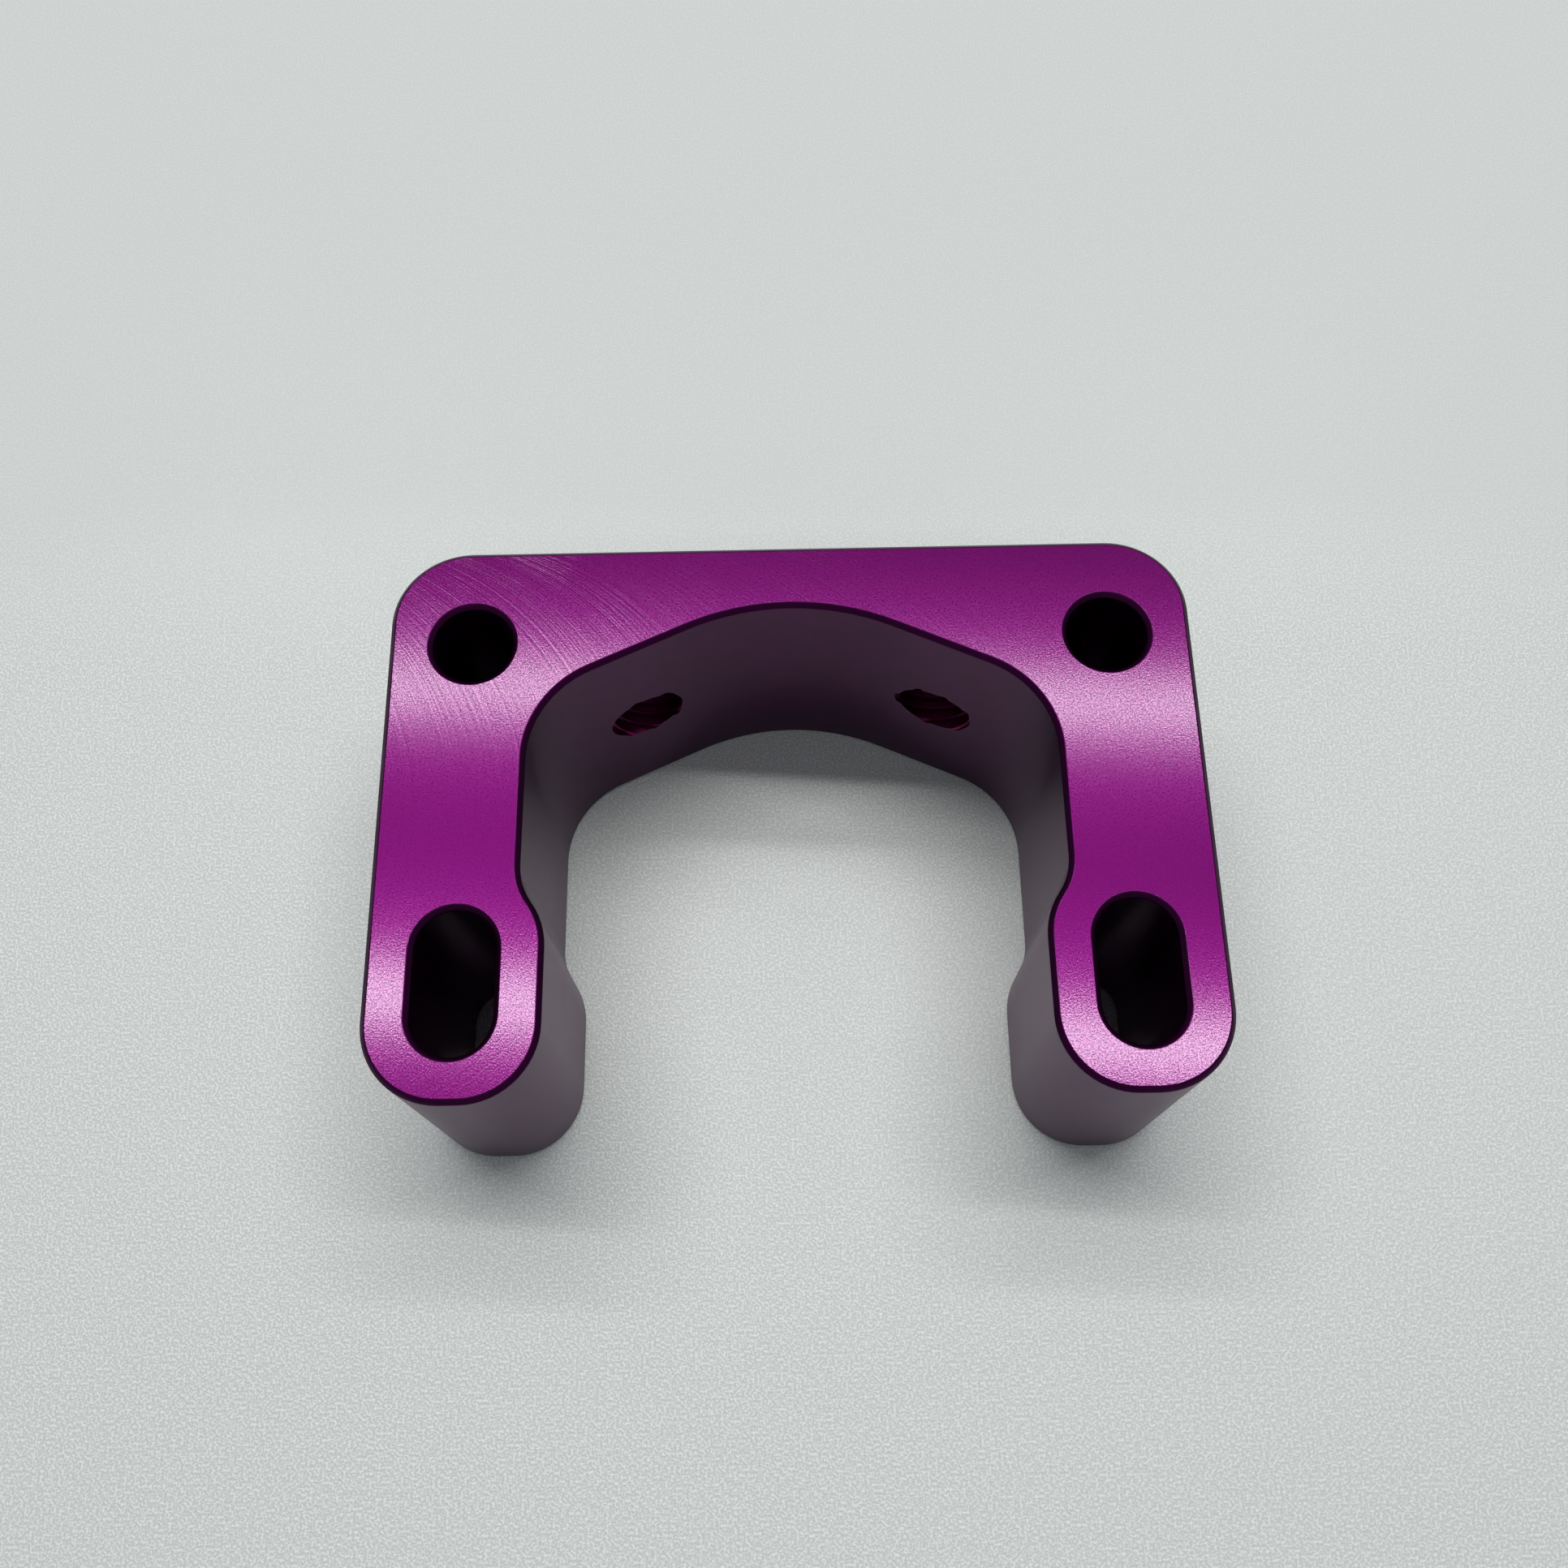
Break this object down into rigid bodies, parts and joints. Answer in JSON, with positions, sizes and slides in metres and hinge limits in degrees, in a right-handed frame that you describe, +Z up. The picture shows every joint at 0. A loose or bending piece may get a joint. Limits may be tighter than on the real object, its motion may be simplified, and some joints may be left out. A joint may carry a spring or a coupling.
{
  "type": "u-shaped saddle bracket",
  "caption": "U-shaped milled aluminium bracket with a round hole and an adjusting slot in each leg and tapped holes through the bridge into a sloped saddle.",
  "frame": {"origin": "centre of the bounding box, on the bottom face that the part stands on", "axes": "+X across the two legs, +Y from the toes to the bridge's back face, +Z up through the plate's thickness"},
  "size_m": [0.09, 0.0632, 0.036],
  "materials": {
    "anodised_aluminium": "purple anodised over a milled surface, satin, fine-grained"
  },
  "bodies": {
    "root": {"saddle_bracket": "anodised_aluminium"}
  },
  "joints": []
}
